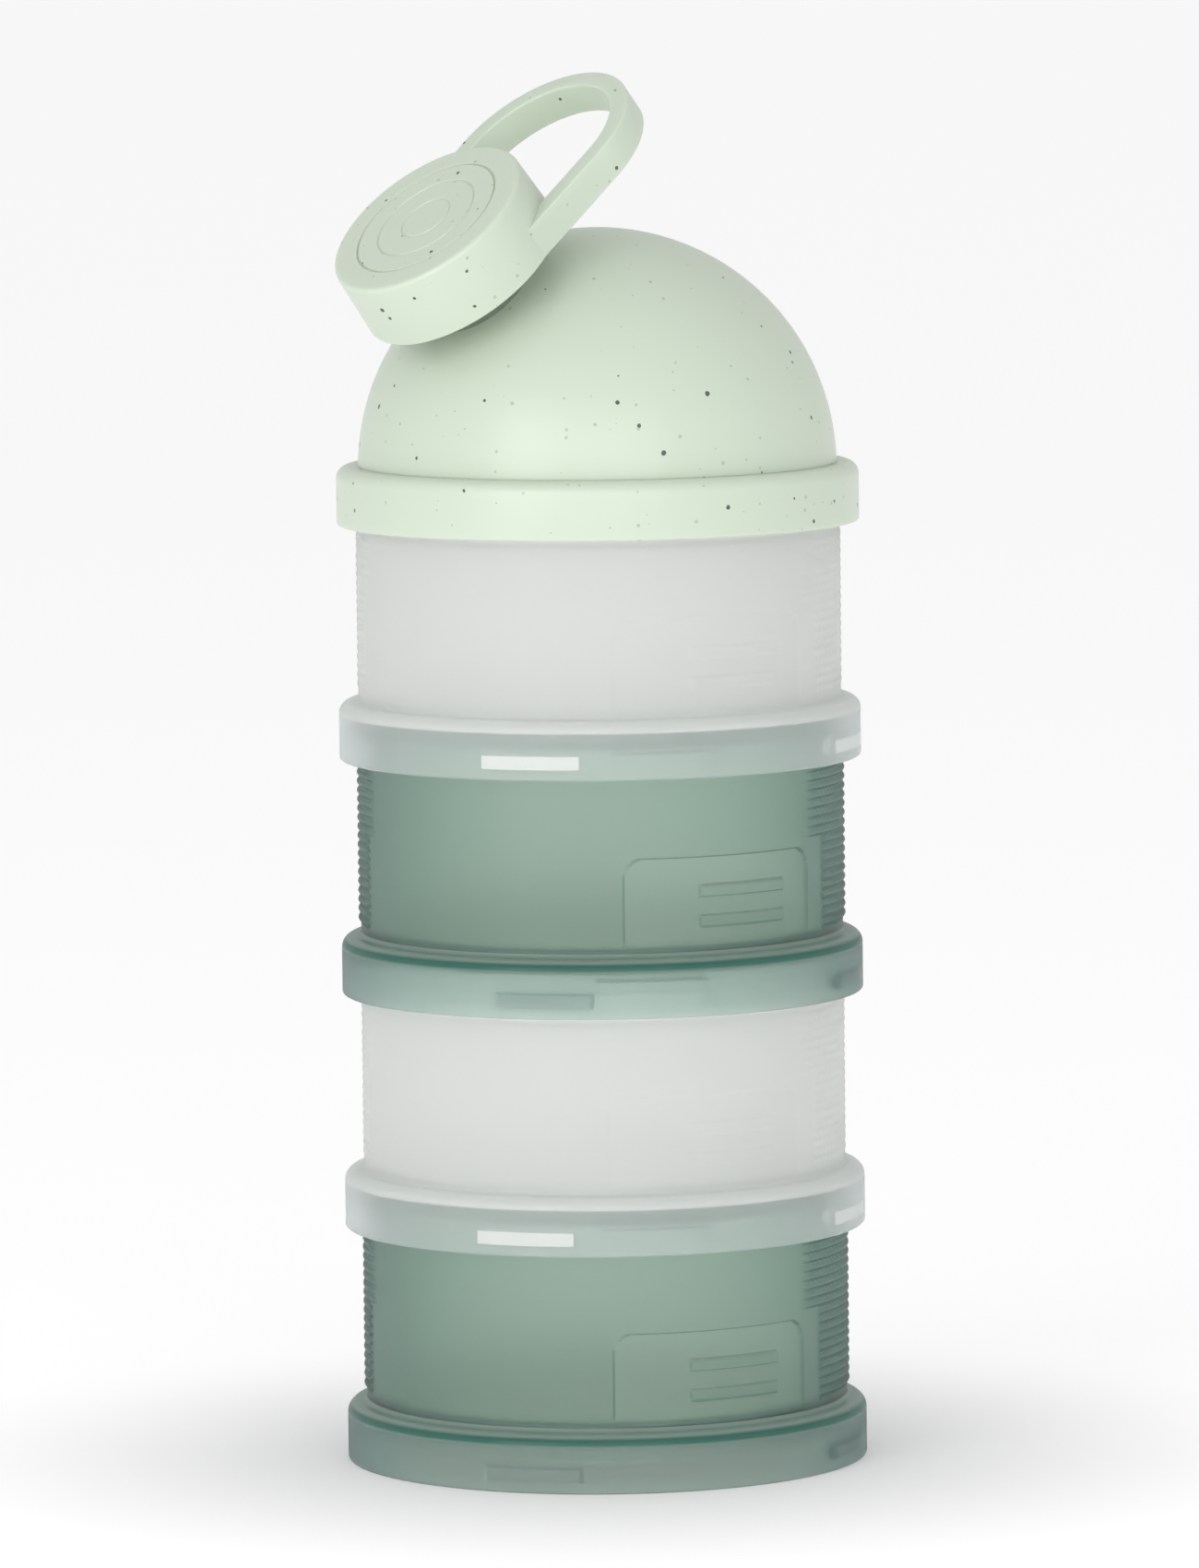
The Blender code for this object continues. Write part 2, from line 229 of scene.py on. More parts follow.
def lathe(name, profile, steps, relief=None, closed=False):
    """A turned mesh. relief(angles, radius, height) gives what each row adds to its radius."""
    angles = np.arange(steps) * 360.0 / steps
    around = np.radians(angles - 90.0)
    verts, starts, faces = [], [], []
    count = 0
    for radius, height in profile:
        starts.append(count)
        if radius < 1e-7:
            verts.append([[0.0, 0.0, height]])
            count += 1
            continue
        radii = np.full(steps, radius)
        if relief is not None:
            radii = radii + relief(angles, radius, height)
        ring = np.stack([radii * np.cos(around), radii * np.sin(around), np.full(steps, height)], axis=1)
        verts.append(ring.tolist())
        count += steps
    pairs = list(zip(range(len(profile)), range(1, len(profile))))
    if closed:
        pairs.append((len(profile) - 1, 0))
    for upper, lower in pairs:
        a, b = starts[upper], starts[lower]
        for j in range(steps):
            k = (j + 1) % steps
            if profile[upper][0] < 1e-7:
                faces.append((a, b + j, b + k))
            elif profile[lower][0] < 1e-7:
                faces.append((a + j, b, a + k))
            else:
                faces.append((a + j, b + j, b + k, a + k))
    mesh = bpy.data.meshes.new(name)
    mesh.from_pydata([v for ring in verts for v in ring], [], faces)
    mesh.validate()
    return mesh


def shown(name, mesh, material, smooth_angle=35.0):
    """A visible object for a finished mesh."""
    obj = bpy.data.objects.new(name, mesh)
    bpy.context.scene.collection.objects.link(obj)
    mesh.materials.clear()
    mesh.materials.append(material)
    mesh.shade_smooth()
    mesh.set_sharp_from_angle(angle=math.radians(smooth_angle))
    return obj


def boolean(mesh, other, operation):
    """The mesh after a Boolean with another mesh; both helpers are removed."""
    target = bpy.data.objects.new("boolean_target", mesh)
    tool = bpy.data.objects.new("boolean_tool", other)
    for obj in (target, tool):
        bpy.context.scene.collection.objects.link(obj)
    modifier = target.modifiers.new("boolean", "BOOLEAN")
    modifier.operation = operation
    modifier.object = tool
    modifier.solver = "EXACT"
    bpy.context.view_layer.update()
    graph = bpy.context.evaluated_depsgraph_get()
    result = bpy.data.meshes.new_from_object(target.evaluated_get(graph))
    for obj in (target, tool):
        bpy.data.objects.remove(obj, do_unlink=True)
    return result


def fade(value, low, high, soft):
    """1 between low and high, falling smoothly to 0 within soft outside them."""
    up = np.clip((value - low) / soft + 1.0, 0.0, 1.0)
    down = np.clip((high - value) / soft + 1.0, 0.0, 1.0)
    both = np.minimum(up, down)
    return both * both * (3.0 - 2.0 * both)


def patches(angles, span, soft):
    """fade over the span and its repeats for each lug, on angles that wrap at 360."""
    middle = (span[0] + span[1]) / 2
    half = (span[1] - span[0]) / 2
    sector = 360.0 / LUGS
    off = (angles - middle + sector / 2) % sector - sector / 2
    return fade(off, -half, half, soft)


def once(angles, span, soft):
    """fade over one span, on angles that wrap at 360."""
    middle = (span[0] + span[1]) / 2
    half = (span[1] - span[0]) / 2
    off = (angles - middle + 180.0) % 360.0 - 180.0
    return fade(off, -half, half, soft)


def panel_mask(angles, height):
    """The label panel: a rounded rectangle on the wall, open at its foot."""
    middle = (PANEL_SPAN[0] + PANEL_SPAN[1]) / 2
    half = math.radians(PANEL_SPAN[1] - PANEL_SPAN[0]) / 2 * BODY_R
    across = np.abs(np.radians((angles - middle + 180.0) % 360.0 - 180.0)) * BODY_R
    out_x = np.maximum(across - (half - PANEL_CORNER), 0.0)
    out_z = max(height - (PANEL_TOP - PANEL_CORNER), 0.0)
    edge = PANEL_CORNER - np.hypot(out_x, out_z)
    return fade(edge, 0.0, 1.0, PANEL_EDGE)


def wall_relief(angles, height, sharpness):
    """Grip ridges, label panel, its plain bars, and the neck's ribs and stops."""
    added = np.zeros_like(angles)
    zone = fade(height, GRIP_Z[0], GRIP_Z[1], GRIP_EDGE)
    if zone > 0.0:
        turn = (height - GRIP_Z[0]) / RIDGE_PITCH
        crest = (0.5 - 0.5 * math.cos(math.tau * turn)) ** RIDGE_BULGE
        tick = np.clip(np.cos(np.radians(angles * TICKS)), 0.0, 1.0)
        depth = LOW_TICK_DEPTH if turn < LOW_TICK_ROWS else TICK_DEPTH
        ridge = RIDGE_HEIGHT * crest - depth * tick * (1.0 - crest)
        around = once(angles, GRIP_SPAN, GRIP_END)
        if height > PANEL_TOP + RIDGE_PITCH:
            wider = (GRIP_SPAN[0] - GRIP_OVER_PANEL / 2, GRIP_SPAN[1])
            around = np.maximum(around, once(angles, wider, GRIP_OVER_PANEL))
        added += zone * around * ridge
    foot = min(1.0, (height - SKIRT_HEIGHT) / PANEL_FOOT)
    added -= PANEL_DEPTH * foot * panel_mask(angles, height)
    for level in BAR_LEVELS:
        bar = fade(height, level, level + BAR_HEIGHT, BAR_EDGE)
        added += BAR_DEPTH * bar * once(angles, BAR_SPAN, BAR_END)
    added *= sharpness
    rib = fade(height - PITCH, RIB_Z[0], RIB_Z[1], LOCK_EDGE)
    added += RIB_DEPTH * rib * patches(angles, RIB_SPAN, RIB_END)
    stop = fade(height - PITCH, LUG_Z[0], RIB_Z[1] - GAP, LOCK_EDGE)
    stops = STOP_DEPTH * stop * patches(angles, STOP_SPAN, RIB_END)
    return np.maximum(added, stops + np.minimum(added, 0.0))


def relief(angles, radius, height, sharpness=1.0):
    """What each row of a pot or lid adds to its radius: relief on the wall, and lugs inside the skirt.
    sharpness scales the ridges and the panel."""
    if abs(radius - BODY_R) < 1e-6 and height > SKIRT_HEIGHT:
        return wall_relief(angles, height, sharpness)
    if abs(radius - (SKIRT_R - SKIRT_WALL)) < 1e-6:
        lug = fade(height, LUG_Z[0], LUG_Z[1], LOCK_EDGE)
        return -LUG_DEPTH * lug * patches(angles, LUG_SPAN, LUG_END)
    return np.zeros_like(angles)


def skirt_profile():
    """From the skirt's shoulder down and round to the inside of the plug."""
    inner = SKIRT_R - SKIRT_WALL
    under = SKIRT_HEIGHT - FLOOR
    plug_end = under - PLUG_DEPTH
    shoulder = 1.9 * MM
    edge = 0.45 * MM
    return joined(
        arc(SKIRT_R - shoulder, SKIRT_HEIGHT - shoulder, shoulder, 90, 0, 10),
        [(SKIRT_R, SKIRT_HEIGHT / 2)],
        arc(SKIRT_R - edge, edge, edge, 0, -90, 5),
        arc(inner + edge / 2, edge / 2, edge / 2, -90, -180, 3),
        rows((inner, LUG_Z[0] - ROW), (inner, LUG_Z[1] + ROW), ROW / 2),
        arc(inner - edge, under - edge, edge, 0, 90, 4),
        [(PLUG_R, under), (PLUG_R, plug_end + BEAD_HEIGHT)],
        arc(BEAD_R - BEAD_HEIGHT / 2, plug_end + BEAD_HEIGHT / 2, BEAD_HEIGHT / 2, 90, -90, 6),
        [(PLUG_R - PLUG_WALL, plug_end)],
    )


def pot_profile():
    """From the middle of the floor up the inside of the wall, down the outside and under the floor."""
    wall = BODY_R - BODY_WALL
    rim = PITCH + SKIRT_HEIGHT - FLOOR - GAP
    under = SKIRT_HEIGHT - FLOOR
    floor_round = 2.0 * MM
    lip = 0.5 * MM
    fillet = 0.6 * MM
    return joined(
        [(0.0, SKIRT_HEIGHT), (BODY_R / 2, SKIRT_HEIGHT)],
        arc(wall - floor_round, SKIRT_HEIGHT + floor_round, floor_round, -90, 0, 8),
        arc(wall + lip, rim - lip, lip, 180, 90, 4),
        arc(BODY_R - lip, rim - lip, lip, 90, 0, 4),
        rows((BODY_R, rim - lip), (BODY_R, PITCH + LUG_Z[0] - ROW), ROW),
        rows((BODY_R, GRIP_Z[1] + ROW), (BODY_R, GRIP_Z[0] - ROW), RIDGE_PITCH / 6),
        arc(BODY_R + fillet, SKIRT_HEIGHT + fillet, fillet, 180, 270, 5),
        skirt_profile(),
        [(PLUG_R - PLUG_WALL, under), (0.0, under)],
    )


def make_pots(finishes):
    masters = {
        slot: lathe("pot", pot_profile(), WALL_STEPS, partial(relief, sharpness=sharpness))
        for slot, sharpness in RELIEF_SHARPNESS.items()
    }
    for node, body, slot, turn in POTS:
        pot = shown(node + "_moulding", masters[slot].copy(), finishes[slot])
        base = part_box(node)[0].z
        pot.matrix_world = Matrix.Translation((0.0, 0.0, base)) @ Matrix.Rotation(math.radians(turn), 4, "Z")
        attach(pot, body)
        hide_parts(node)


def ring_profile(inner, lip, low, high, corner, lip_length):
    """A sealing ring's closed profile, which narrows outwards over lip_length to a round lip."""
    return joined(
        arc(lip - lip_length, high - corner, corner, 90, 30, 3),
        arc(lip - corner, (low + high) / 2, corner, 60, -60, 6),
        arc(lip - lip_length, low + corner, corner, -30, -90, 3),
        arc(inner + corner, low + corner, corner, -90, -180, 3),
        arc(inner + corner, high - corner, corner, 180, 90, 3),
    )


def make_seals(finish):
    """The silicone ring on each plug, with a soft outer lip."""
    under = SKIRT_HEIGHT - FLOOR
    low = under - PLUG_DEPTH + BEAD_HEIGHT + GAP
    high = under - GAP
    lip = BODY_R - BODY_WALL - GAP
    inner = PLUG_R + GAP
    master = lathe("seal", ring_profile(inner, lip, low, high, 0.2 * MM, 0.5 * MM), RING_STEPS, closed=True)
    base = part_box("pot_1_green")[0].z
    for level, (node, body) in enumerate(SEALS):
        seal = shown(node + "_ring", master.copy(), finish)
        seal.matrix_world = Matrix.Translation((0.0, 0.0, base + level * PITCH))
        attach(seal, body)
        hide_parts(node)


def spout_matrix():
    """From the spout's own frame, +Z along its axis and +X along the loop, to the model's."""
    up = Vector((0.0, 0.0, 1.0))
    uphill = (up - SPOUT_AXIS * up.dot(SPOUT_AXIS)).normalized()
    turned = Matrix((uphill, SPOUT_AXIS.cross(uphill), SPOUT_AXIS)).transposed().to_4x4()
    return Matrix.Translation((0.0, 0.0, DOME_CENTRE)) @ turned


def make_lid(finish):
    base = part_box("dome_lid")[0].z
    centre = DOME_CENTRE - base
    inner = DOME_R - DOME_WALL
    groove = 0.08 * MM
    foot = SKIRT_HEIGHT + 0.09 * MM
    low_outer = math.degrees(math.asin((foot - centre) / DOME_R))
    low_inner = math.degrees(math.acos((BODY_R - 2 * BODY_WALL) / inner))
    profile = joined(
        [(0.0, centre + DOME_R)],
        arc(0.0, centre, DOME_R, 89.4, low_outer, 90),
        arc(DOME_R, foot - groove, groove, 160, 290, 6),
        skirt_profile(),
        [(PLUG_R - PLUG_WALL, SKIRT_HEIGHT - FLOOR)],
        arc(0.0, centre, inner, low_inner, 89.0, 60),
        [(0.0, centre + inner)],
    )
    dome = lathe("dome", profile, RING_STEPS, relief)
    place = Matrix.Translation((0.0, 0.0, -base)) @ spout_matrix()
    dome = boolean(dome, spout_neck(place), "UNION")
    dome = boolean(dome, spout_bore(place), "DIFFERENCE")
    lid = shown("dome_lid_moulding", dome, finish)
    lid.matrix_world = Matrix.Translation((0.0, 0.0, base))
    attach(lid, "lid")
    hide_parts("dome_lid")


def spout_neck(place):
    """The spout's neck as a solid post that widens inside the cap, with a fillet that runs out just under the
    dome's surface."""
    reach = SPOUT_WAIST + SPOUT_FILLET
    inside = CAP_FACE - CAP_HEIGHT + 1.0 * MM
    root = DOME_R - SPOUT_ROOT
    centre_t = math.sqrt((DOME_R + SPOUT_FILLET) ** 2 - reach ** 2)
    touch = math.degrees(math.atan2(centre_t, reach)) + 180.0
    lip = 0.5 * MM
    profile = joined(
        [(0.0, SPOUT_TOP)],
        arc(SPOUT_R - lip, SPOUT_TOP - lip, lip, 90, 0, 4),
        [(SPOUT_R, inside), (SPOUT_WAIST, inside - SPOUT_FLARE)],
        arc(reach, centre_t - 0.04 * MM, SPOUT_FILLET, 180, touch + 6.0, 8),
        [(reach - 3.0 * MM, root), (0.0, root)],
    )
    mesh = lathe("neck", profile, CAP_STEPS)
    mesh.transform(place)
    return mesh


def spout_bore(place):
    radius = SPOUT_R - SPOUT_WALL
    profile = [(0.0, CAP_FACE), (radius, CAP_FACE), (radius, DOME_R / 2), (0.0, DOME_R / 2)]
    mesh = lathe("bore", profile, CAP_STEPS)
    mesh.transform(place)
    return mesh


def cap_face_profile():
    """The cap's face from its centre outwards, with plain concentric grooves."""
    points = [(0.0, CAP_FACE)]
    for radius, half, depth in FACE_GROOVES:
        points += [(radius - half, CAP_FACE), (radius - half / 2, CAP_FACE - depth)]
        points += [(radius + half / 2, CAP_FACE - depth), (radius + half, CAP_FACE)]
    return points


def make_cap(finish):
    bottom = CAP_FACE - CAP_HEIGHT
    edge = 0.35 * MM
    profile = joined(
        cap_face_profile(),
        arc(CAP_R - CAP_ROUND, CAP_FACE - CAP_ROUND, CAP_ROUND, 90, 0, 8),
        arc(CAP_FOOT_R - edge, bottom + edge, edge, 0, -90, 5),
        [(0.0, bottom)],
    )
    cap = lathe("cap", profile, CAP_STEPS)
    cap = boolean(cap, loop_mesh(bottom), "UNION")
    cap = boolean(cap, cap_hollow(bottom), "DIFFERENCE")
    cap = boolean(cap, cap_trench(bottom), "DIFFERENCE")
    piece = shown("spout_cap_moulding", cap, finish)
    piece.matrix_world = spout_matrix()
    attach(piece, "cap")
    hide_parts("spout_cap")


def loop_mesh(bottom):
    """The flat carrying loop, open at its cap end, with soft edges."""
    inner = LOOP_HALF_WIDTH - LOOP_BAND
    start = 2.0 * MM
    root = LOOP_ROOT + (LOOP_HALF_WIDTH - LOOP_ROOT) * start / LOOP_REACH
    turn = 90.0 + LOOP_DRAFT
    outline = joined(
        [(start, -root)],
        arc(LOOP_REACH, 0.0, LOOP_HALF_WIDTH, -turn, turn, 64),
        [(start, root), (start, root - LOOP_BAND)],
        arc(LOOP_REACH, 0.0, inner, turn, -turn, 56),
        [(start, LOOP_BAND - root)],
    )
    shape = bmesh.new()
    low = bottom - LOOP_DROP
    ring = [shape.verts.new((x, y, low)) for x, y in outline]
    face = shape.faces.new(ring)
    lifted = bmesh.ops.extrude_face_region(shape, geom=[face])
    tops = [v for v in lifted["geom"] if isinstance(v, bmesh.types.BMVert)]
    bmesh.ops.translate(shape, verts=tops, vec=(0.0, 0.0, LOOP_HEIGHT))
    bmesh.ops.recalc_face_normals(shape, faces=shape.faces)
    rim = [e for e in shape.edges if len(e.link_faces) == 2 and e.calc_face_angle(0.0) > math.radians(40)]
    bmesh.ops.bevel(shape, geom=rim, offset=LOOP_EDGE, segments=4, profile=0.5, affect="EDGES")
    mesh = bpy.data.meshes.new("loop")
    shape.to_mesh(mesh)
    shape.free()
    return mesh


def cap_hollow(bottom):
    """What is cut from the cap's underside for the neck, leaving the plug."""
    roof = CAP_FACE - CAP_TOP
    mouth = bottom - CAP_WALL
    plug_end = roof - CAP_PLUG_DEPTH
    inside = CAP_PLUG_R - CAP_PLUG_WALL
    profile = [(0.0, roof), (inside, roof), (inside, plug_end), (CAP_PLUG_R, plug_end), (CAP_PLUG_R, roof)]
    profile += [(CAP_BORE_R, roof), (CAP_BORE_R, mouth), (0.0, mouth)]
    return lathe("hollow", profile, CAP_STEPS)


def cap_trench(bottom):
    """The ring-shaped hollow between the cap's outer wall and its collar."""
    roof = CAP_FACE - CAP_TOP
    mouth = bottom - CAP_WALL
    outer = CAP_R - CAP_WALL
    profile = [(outer, roof), (outer, mouth), (COLLAR_R, mouth), (COLLAR_R, roof)]
    return lathe("trench", profile, CAP_STEPS, closed=True)


def make_cap_seal(finish):
    roof = CAP_FACE - CAP_TOP
    low = roof - CAP_PLUG_DEPTH + GAP
    high = roof - GAP
    lip = SPOUT_R - SPOUT_WALL - GAP
    inner = CAP_PLUG_R + GAP
    profile = ring_profile(inner, lip, low, high, 0.15 * MM, 0.4 * MM)
    seal = shown("seal_cap_ring", lathe("cap_seal", profile, CAP_STEPS, closed=True), finish)
    seal.matrix_world = spout_matrix()
    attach(seal, "ring_cap")
    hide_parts("seal_cap")


# Finishes


def node(tree, kind, **values):
    """A shader node with its inputs set by name, with spaces for underscores, or linked from a socket."""
    made = tree.nodes.new(kind)
    for key, value in values.items():
        socket = made.inputs[key.replace("_", " ")] if not key[-1].isdigit() else made.inputs[int(key[1:])]
        if isinstance(value, bpy.types.NodeSocket):
            tree.links.new(value, socket)
        else:
            socket.default_value = value
    return made


def maths(tree, operation, first, second=0.0, third=0.0):
    """The number that a Math node gives."""
    made = node(tree, "ShaderNodeMath", i0=first, i1=second, i2=third)
    made.operation = operation
    return made.outputs[0]


def product(tree, first, *others):
    """Numbers or sockets multiplied together."""
    for other in others:
        first = maths(tree, "MULTIPLY", first, other)
    return first


def vectors(tree, operation, first, second=(0.0, 0.0, 0.0), output="Vector"):
    made = node(tree, "ShaderNodeVectorMath", i0=first, i1=second)
    made.operation = operation
    return made.outputs[output]


def mixed(tree, factor, first, second):
    """A colour mix of two colours or sockets."""
    made = tree.nodes.new("ShaderNodeMix")
    made.data_type = "RGBA"
    for index, value in ((0, factor), (6, first), (7, second)):
        if isinstance(value, bpy.types.NodeSocket):
            tree.links.new(value, made.inputs[index])
        else:
            made.inputs[index].default_value = value
    return made.outputs[2]


def bumped(tree, height, strength, distance):
    made = node(tree, "ShaderNodeBump", Strength=strength, Distance=distance, Height=height)
    return made.outputs["Normal"]


def new_finish(name):
    """A material, its node tree, its Principled shader and its object coordinates."""
    material = bpy.data.materials.new(name)
    material.use_nodes = True
    tree = material.node_tree
    shader = tree.nodes["Principled BSDF"]
    coordinates = tree.nodes.new("ShaderNodeTexCoord").outputs["Object"]
    return material, tree, shader, coordinates


def flow_marks(tree, coordinates, scale):
    """Very soft, tall variation, as plastic shows where it flowed and cooled."""
    stretched = node(tree, "ShaderNodeMapping", Vector=coordinates, Scale=(1.0, 1.0, 0.35)).outputs[0]
    noise = node(tree, "ShaderNodeTexNoise", Vector=stretched, Scale=scale, Detail=2.0, Roughness=0.5)
    return noise.outputs["Fac"]


def satin(tree, coordinates, shader, strength=0.05):
    """Fine moulded grain on the surface, in roughness and bump."""
    fine = node(tree, "ShaderNodeTexNoise", Vector=coordinates, Scale=2600.0, Detail=2.0).outputs["Fac"]
    tree.links.new(bumped(tree, fine, strength, 0.02 * MM), shader.inputs["Normal"])
    return fine


def specks(tree, coordinates, cell, largest, chosen, seed):
    """Sparse irregular specks: 1 inside a speck. Each cell of the given size holds at most one."""
    wobble = node(tree, "ShaderNodeTexNoise", Vector=coordinates, Scale=900.0, Detail=2.0).outputs["Color"]
    shift = vectors(tree, "SUBTRACT", wobble, (0.5, 0.5, 0.5))
    small = vectors(tree, "MULTIPLY", shift, (0.9 * largest,) * 3)
    moved = vectors(tree, "ADD", vectors(tree, "ADD", coordinates, small), seed)
    cells = node(tree, "ShaderNodeTexVoronoi", Vector=moved, Scale=1.0 / cell)
    pick = tree.nodes.new("ShaderNodeSeparateColor")
    tree.links.new(cells.outputs["Color"], pick.inputs[0])
    size = maths(tree, "MULTIPLY", pick.outputs["Red"], largest / cell)
    inside = maths(tree, "LESS_THAN", cells.outputs["Distance"], size)
    kept = maths(tree, "GREATER_THAN", pick.outputs["Green"], 1.0 - chosen)
    return maths(tree, "MULTIPLY", inside, kept)


def mint_finish():
    """Opaque pale mint with sparse dark fibre specks."""
    mint = ((0.56, 0.64, 0.525, 1.0), (0.595, 0.675, 0.56, 1.0))
    dark_fibre = (0.035, 0.045, 0.035, 1.0)
    faint_fibre = (0.16, 0.21, 0.15, 1.0)
    material, tree, shader, coordinates = new_finish("mint_plastic")
    base = mixed(tree, flow_marks(tree, coordinates, 22.0), *mint)
    dark = specks(tree, coordinates, 3.3 * MM, 0.42 * MM, 0.7, (0.013, 0.0, 0.0))
    faint = specks(tree, coordinates, 2.1 * MM, 0.32 * MM, 0.8, (0.0, 0.037, 0.011))
    tinted = mixed(tree, product(tree, faint, 0.38), base, faint_fibre)
    speckled = mixed(tree, product(tree, dark, 0.92), tinted, dark_fibre)
    tree.links.new(speckled, shader.inputs["Base Color"])
    shader.inputs["Subsurface Weight"].default_value = 0.35
    shader.inputs["Subsurface Radius"].default_value = (1.0, 1.0, 0.9)
    shader.inputs["Subsurface Scale"].default_value = 1.6 * MM
    shader.inputs["Specular IOR Level"].default_value = 0.65
    fine = satin(tree, coordinates, shader)
    rough = node(tree, "ShaderNodeMapRange", Value=fine, i3=0.29, i4=0.36)
    tree.links.new(rough.outputs[0], shader.inputs["Roughness"])
    return material


def ramp(tree, value, low, high):
    """0 below low, 1 above high, smooth between."""
    made = node(tree, "ShaderNodeMapRange", Value=value, i1=low, i2=high, i3=0.0, i4=1.0)
    made.interpolation_type = "SMOOTHSTEP"
    return made.outputs[0]


def zones(tree, coordinates):
    """Masks in a pot's own frame, by name. The edge is the floor's rim seen from outside, and the shoulder is
    the skirt's top above it."""
    x, y, z = node(tree, "ShaderNodeSeparateXYZ", Vector=coordinates).outputs
    under = SKIRT_HEIGHT - FLOOR
    skirt = ramp(tree, z, under + 0.3 * MM, under - 0.3 * MM)
    sector = math.tau / LUGS
    turn = maths(tree, "ARCTAN2", x, product(tree, y, -1.0))
    part = maths(tree, "FLOORED_MODULO", turn, sector)
    middle = math.radians(LUG_SPAN[0] + LUG_SPAN[1]) / 2 % sector
    around = maths(tree, "COMPARE", part, middle, math.radians(LUG_SPAN[1] - LUG_SPAN[0]) / 2)
    along = maths(tree, "COMPARE", z, (LUG_Z[0] + LUG_Z[1]) / 2, (LUG_Z[1] - LUG_Z[0]) / 2)
    radius = maths(tree, "SQRT", maths(tree, "MULTIPLY_ADD", x, x, product(tree, y, y)))
    outside = maths(tree, "GREATER_THAN", radius, BODY_R - 0.1 * MM)
    top = ramp(tree, z, SKIRT_HEIGHT - 0.9 * MM, SKIRT_HEIGHT - 0.4 * MM)
    over_skirt = maths(tree, "SUBTRACT", 1.0, skirt)
    below_wall = maths(tree, "LESS_THAN", z, SKIRT_HEIGHT + 0.6 * MM)
    return {
        "skirt": skirt,
        "lug": product(tree, around, along),
        "neck": ramp(tree, z, PITCH - 1.0 * MM, PITCH),
        "floor": maths(tree, "LESS_THAN", radius, BODY_R - BODY_WALL - 0.2 * MM),
        "edge": product(tree, outside, maths(tree, "SUBTRACT", over_skirt, top)),
        "shoulder": product(tree, outside, top, below_wall),
    }


def painted_shade_slopes(tree, coordinates):
    """Mask of the relief's downward and sideways slopes on the outside of a pot's wall, where the finish
    paints
    shade: moulded edges get a darker colour there, as if lit from above."""
    x, y, z = node(tree, "ShaderNodeSeparateXYZ", Vector=coordinates).outputs
    normal = tree.nodes.new("ShaderNodeTexCoord").outputs["Normal"]
    radial = vectors(tree, "NORMALIZE", node(tree, "ShaderNodeCombineXYZ", X=x, Y=y).outputs[0])
    outward = vectors(tree, "DOT_PRODUCT", normal, radial, output="Value")
    sideways = ramp(tree, maths(tree, "ABSOLUTE", outward), 0.98, 0.5)
    rise = node(tree, "ShaderNodeSeparateXYZ", Vector=normal).outputs[2]
    level = ramp(tree, maths(tree, "ABSOLUTE", rise), 0.3, 0.0)
    down = ramp(tree, rise, -0.05, -0.6)
    slope = maths(tree, "MAXIMUM", down, product(tree, sideways, level))
    outside = maths(tree, "GREATER_THAN", outward, 0.0)
    above = maths(tree, "GREATER_THAN", z, SKIRT_HEIGHT + 0.8 * MM)
    below = maths(tree, "LESS_THAN", z, PITCH + 0.5 * MM)
    return product(tree, slope, outside, above, below)


def blend(tree, factor, first, second):
    """A number mix: first at factor 0, second at factor 1."""
    step = maths(tree, "SUBTRACT", second, first)
    return maths(tree, "MULTIPLY_ADD", factor, step, first)


@dataclass(frozen=True)
class Cloudy:
    """The look of a cloudy plastic. cloud is the colour of the light it scatters, band that of edges and of
    the painted shade on the relief's undersides, and pale that of the floor and the lugs. clear is the share
    seen through the body and through each zone, tints colour what the body and the skirt let through, and
    haze is the roughness of the view through the body. bend is its index of refraction. absorbed and density
    are those of the solid plastic."""

    cloud: tuple
    band: tuple
    pale: tuple
    clear: dict
    bend: float
    roughness: float
    haze: float
    tints: tuple = (WHITE, WHITE)
    absorbed: tuple = None
    density: float = 0.0


def scattered_share(tree, coordinates, shader, look, colour, zone):
    """The light that the wall itself scatters, forwards and back."""
    fine = satin(tree, coordinates, shader, 0.04)
    grain = 0.03
    rough = node(tree, "ShaderNodeMapRange", Value=fine, i3=look.roughness - grain, i4=look.roughness + grain)
    tree.links.new(rough.outputs[0], shader.inputs["Roughness"])
    tree.links.new(colour, shader.inputs["Base Color"])
    shader.inputs["IOR"].default_value = PLASTIC_IOR
    glow = node(tree, "ShaderNodeBsdfTranslucent", Color=colour)
    body = blend(tree, zone["skirt"], blend(tree, zone["neck"], 0.5, 0.14), 0.4)
    through = blend(tree, zone["floor"], body, 0.15)
    return node(tree, "ShaderNodeMixShader", i0=through, i1=shader.outputs[0], i2=glow.outputs[0])


def window_share(tree, look, tint, floor):
    """The light seen through the wall as through frosted glass."""
    window = tree.nodes.new("ShaderNodeBsdfPrincipled")
    tree.links.new(tint, window.inputs["Base Color"])
    window.inputs["Transmission Weight"].default_value = 1.0
    window.inputs["Coat Weight"].default_value = 0.12
    window.inputs["Coat Roughness"].default_value = 0.22
    window.inputs["Roughness"].default_value = look.roughness
    window.inputs["IOR"].default_value = look.bend
    tree.links.new(blend(tree, floor, look.haze, look.roughness), window.inputs["Roughness"])
    tree.links.new(blend(tree, floor, look.bend, PLASTIC_IOR), window.inputs["IOR"])
    return window


